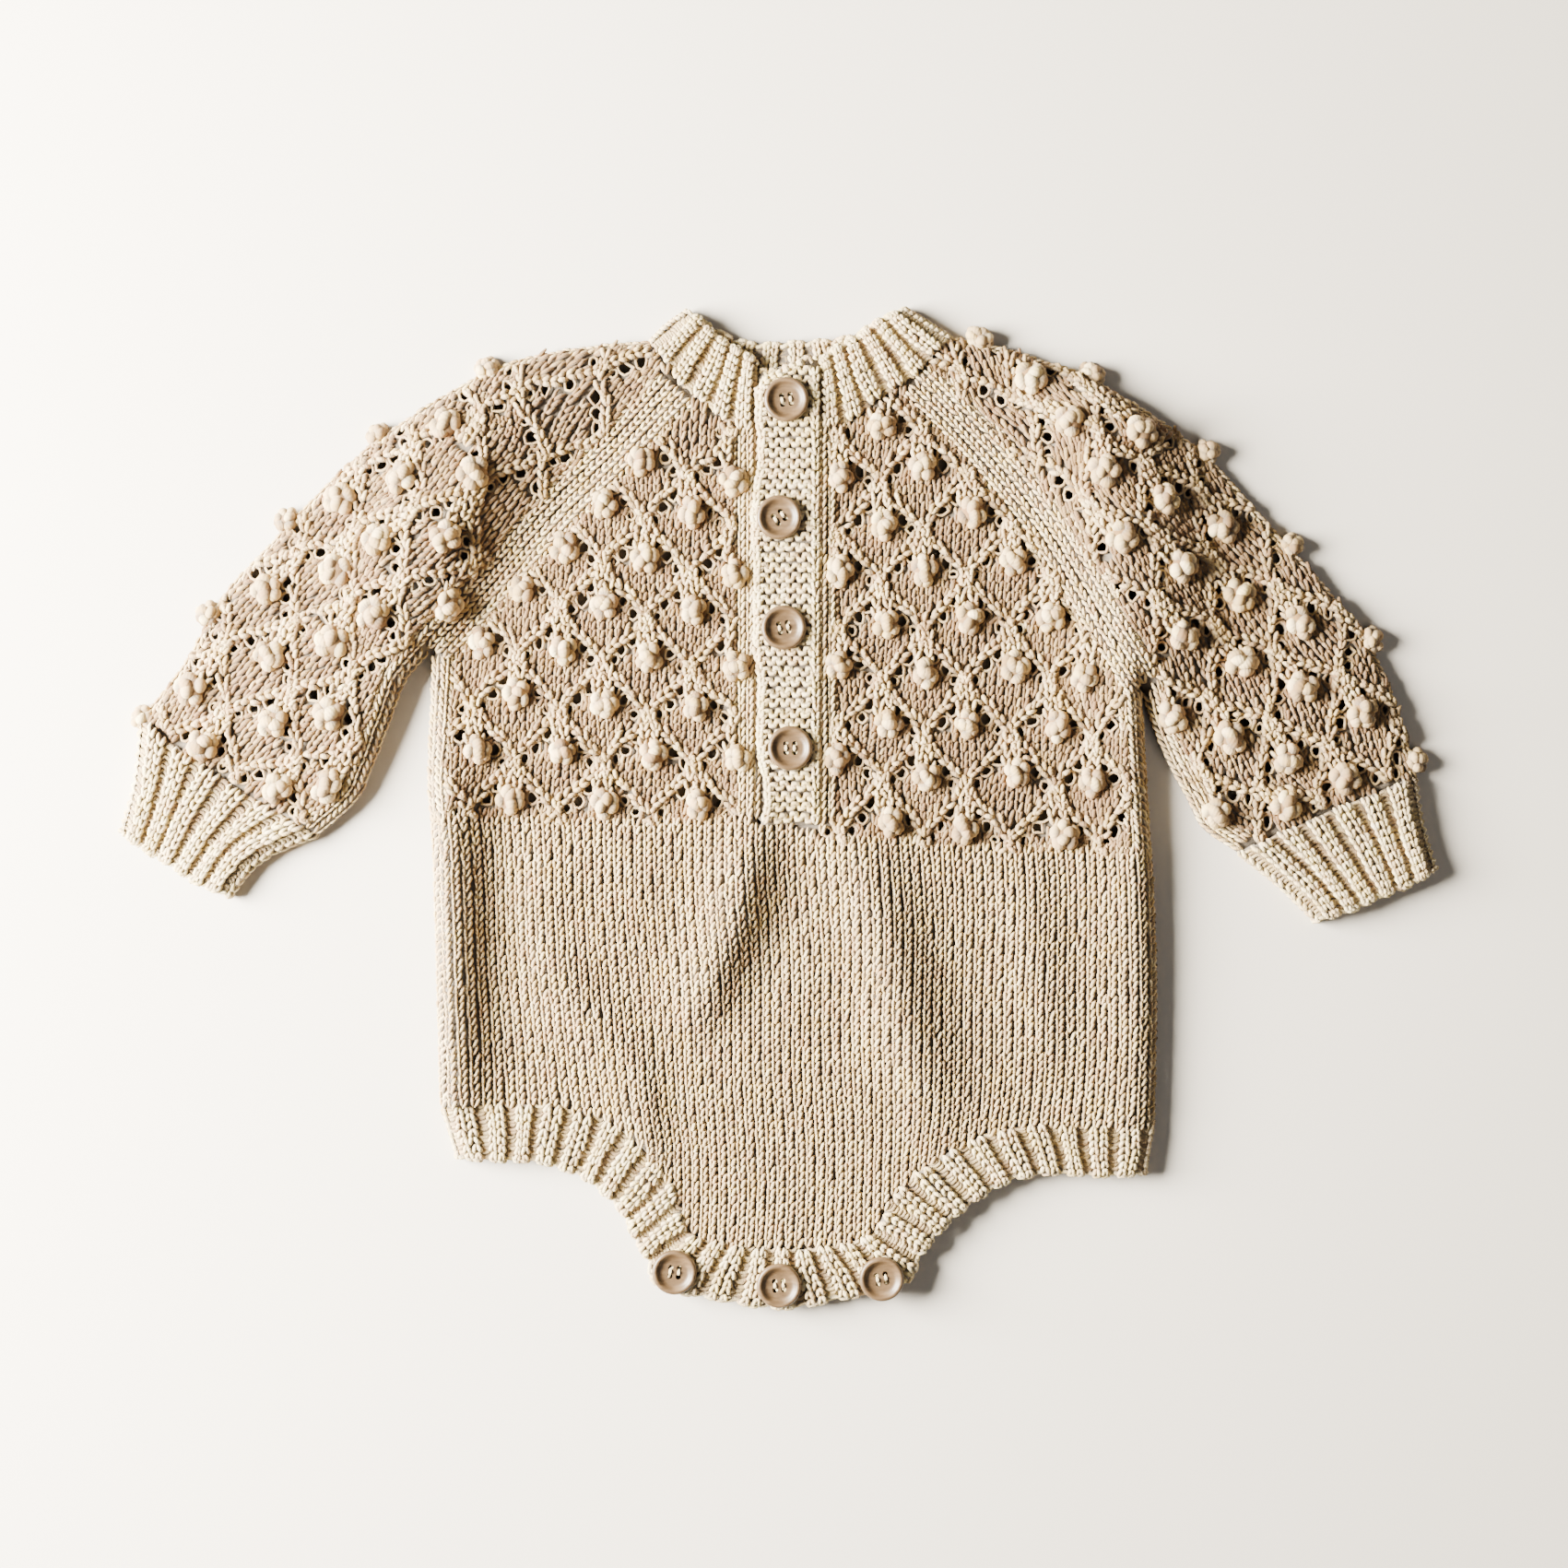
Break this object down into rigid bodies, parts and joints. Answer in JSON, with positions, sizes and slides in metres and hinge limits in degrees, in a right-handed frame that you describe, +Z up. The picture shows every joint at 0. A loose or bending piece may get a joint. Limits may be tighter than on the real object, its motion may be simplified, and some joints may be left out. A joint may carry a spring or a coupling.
{
  "type": "baby romper",
  "caption": "Hand-knitted cream cotton baby romper with long raglan sleeves, a bobble-lace yoke, a buttoned garter placket and a buttoned crotch, laid flat.",
  "frame": {"origin": "on the surface the romper lies on, below the middle of its outline", "axes": "+X across the garment from one cuff to the other, to the right as seen from above with the neck at the top; +Y from the crotch to the neck; +Z up, out of the front"},
  "size_m": [0.5145, 0.3894, 0.014],
  "materials": {
    "cotton_knit": "hand-knitted plied cotton, matt, stockinette with bobble lace",
    "cotton_rib": "hand-knitted plied cotton, matt, ribbed and garter-stitch bands",
    "button_corozo": "turned corozo nut, dished with a raised rim, satin"
  },
  "bodies": {
    "root": {"front": "cotton_knit", "back": "cotton_knit", "sleeve_left": "cotton_knit", "sleeve_right": "cotton_knit", "cuff_left": "cotton_rib", "cuff_right": "cotton_rib", "neckband": "cotton_rib", "placket": "cotton_rib", "placket_under": "cotton_rib", "leg_band_left": "cotton_rib", "leg_band_right": "cotton_rib", "crotch_band_front": "cotton_rib", "crotch_band_back": "cotton_rib", "button_1": "button_corozo", "button_2": "button_corozo", "button_3": "button_corozo", "button_4": "button_corozo", "crotch_button_1": "button_corozo", "crotch_button_2": "button_corozo", "crotch_button_3": "button_corozo"}
  },
  "joints": []
}
